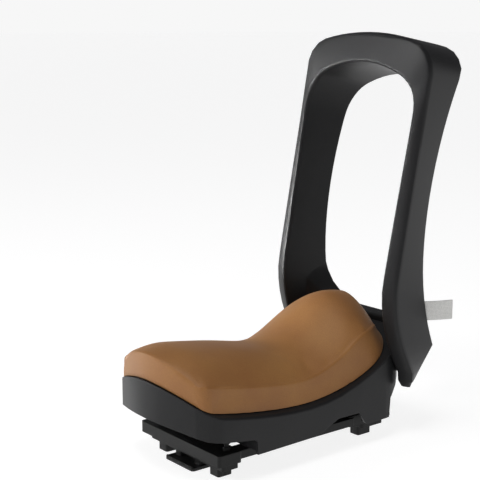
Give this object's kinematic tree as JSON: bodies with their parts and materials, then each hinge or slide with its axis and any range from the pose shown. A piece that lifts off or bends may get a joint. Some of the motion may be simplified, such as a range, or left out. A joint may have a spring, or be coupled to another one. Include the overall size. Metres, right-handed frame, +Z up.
{
  "type": "rear child bike seat",
  "caption": "Rear carrier seat for an older child: moulded shell, saddle-shaped cushion, tall open hoop backrest and a clip-on adapter with a spring latch.",
  "frame": {"origin": "centre of the underside of the front claw, on the level of the lowest feet", "axes": "+Z up, the child looks towards -Y, +X to the side, x = 0 is the middle plane"},
  "size_m": [0.2379, 0.445, 0.5402],
  "materials": {
    "shell_plastic": "fine spark-eroded grain",
    "adapter_plastic": "satin glass-filled nylon",
    "foam_skin": "matt integral foam skin",
    "tag_weave": "woven ribbon",
    "rubber": "matt",
    "steel": "zinc plated"
  },
  "bodies": {
    "seat": {"seat_shell": "shell_plastic", "cushion": "foam_skin", "cushion_studs": "adapter_plastic", "backrest_hoop": "shell_plastic", "crossbar_bolts": "steel", "crossbar_washers": "steel", "cheek_screws": "steel", "cheek_washers": "steel", "woven_tag": "tag_weave", "adapter_frame": "adapter_plastic", "front_claw": "adapter_plastic", "claw_screws": "steel", "shell_bolts": "steel", "bolt_washers": "steel", "dampers": "rubber", "shell_nuts": "steel", "lever_pin": "steel", "lever_spring": "steel", "latch_spring": "steel", "latch_cover": "adapter_plastic", "cover_screws": "steel"},
    "lever": {"release_lever": "adapter_plastic"},
    "latch": {"latch_bolt": "adapter_plastic"}
  },
  "joints": [
    {"name": "lever_hinge", "type": "hinge", "parent": "seat", "child": "lever", "pos_m": [0, 0.262, 0.046], "axis": [-1, 0, 0], "range_deg": [0, 20], "deforming": ["lever_spring"]},
    {"name": "latch_slide", "type": "slide", "parent": "seat", "child": "latch", "axis": [0, -1, 0], "range_m": [0, 0.0085], "stiffness_N_per_m": 500, "springref_m": -0.002, "deforming": ["latch_spring"]}
  ],
  "couplings": [
    {"joint": "lever_hinge", "follows": "latch_slide", "rad_per_m": 41}
  ]
}
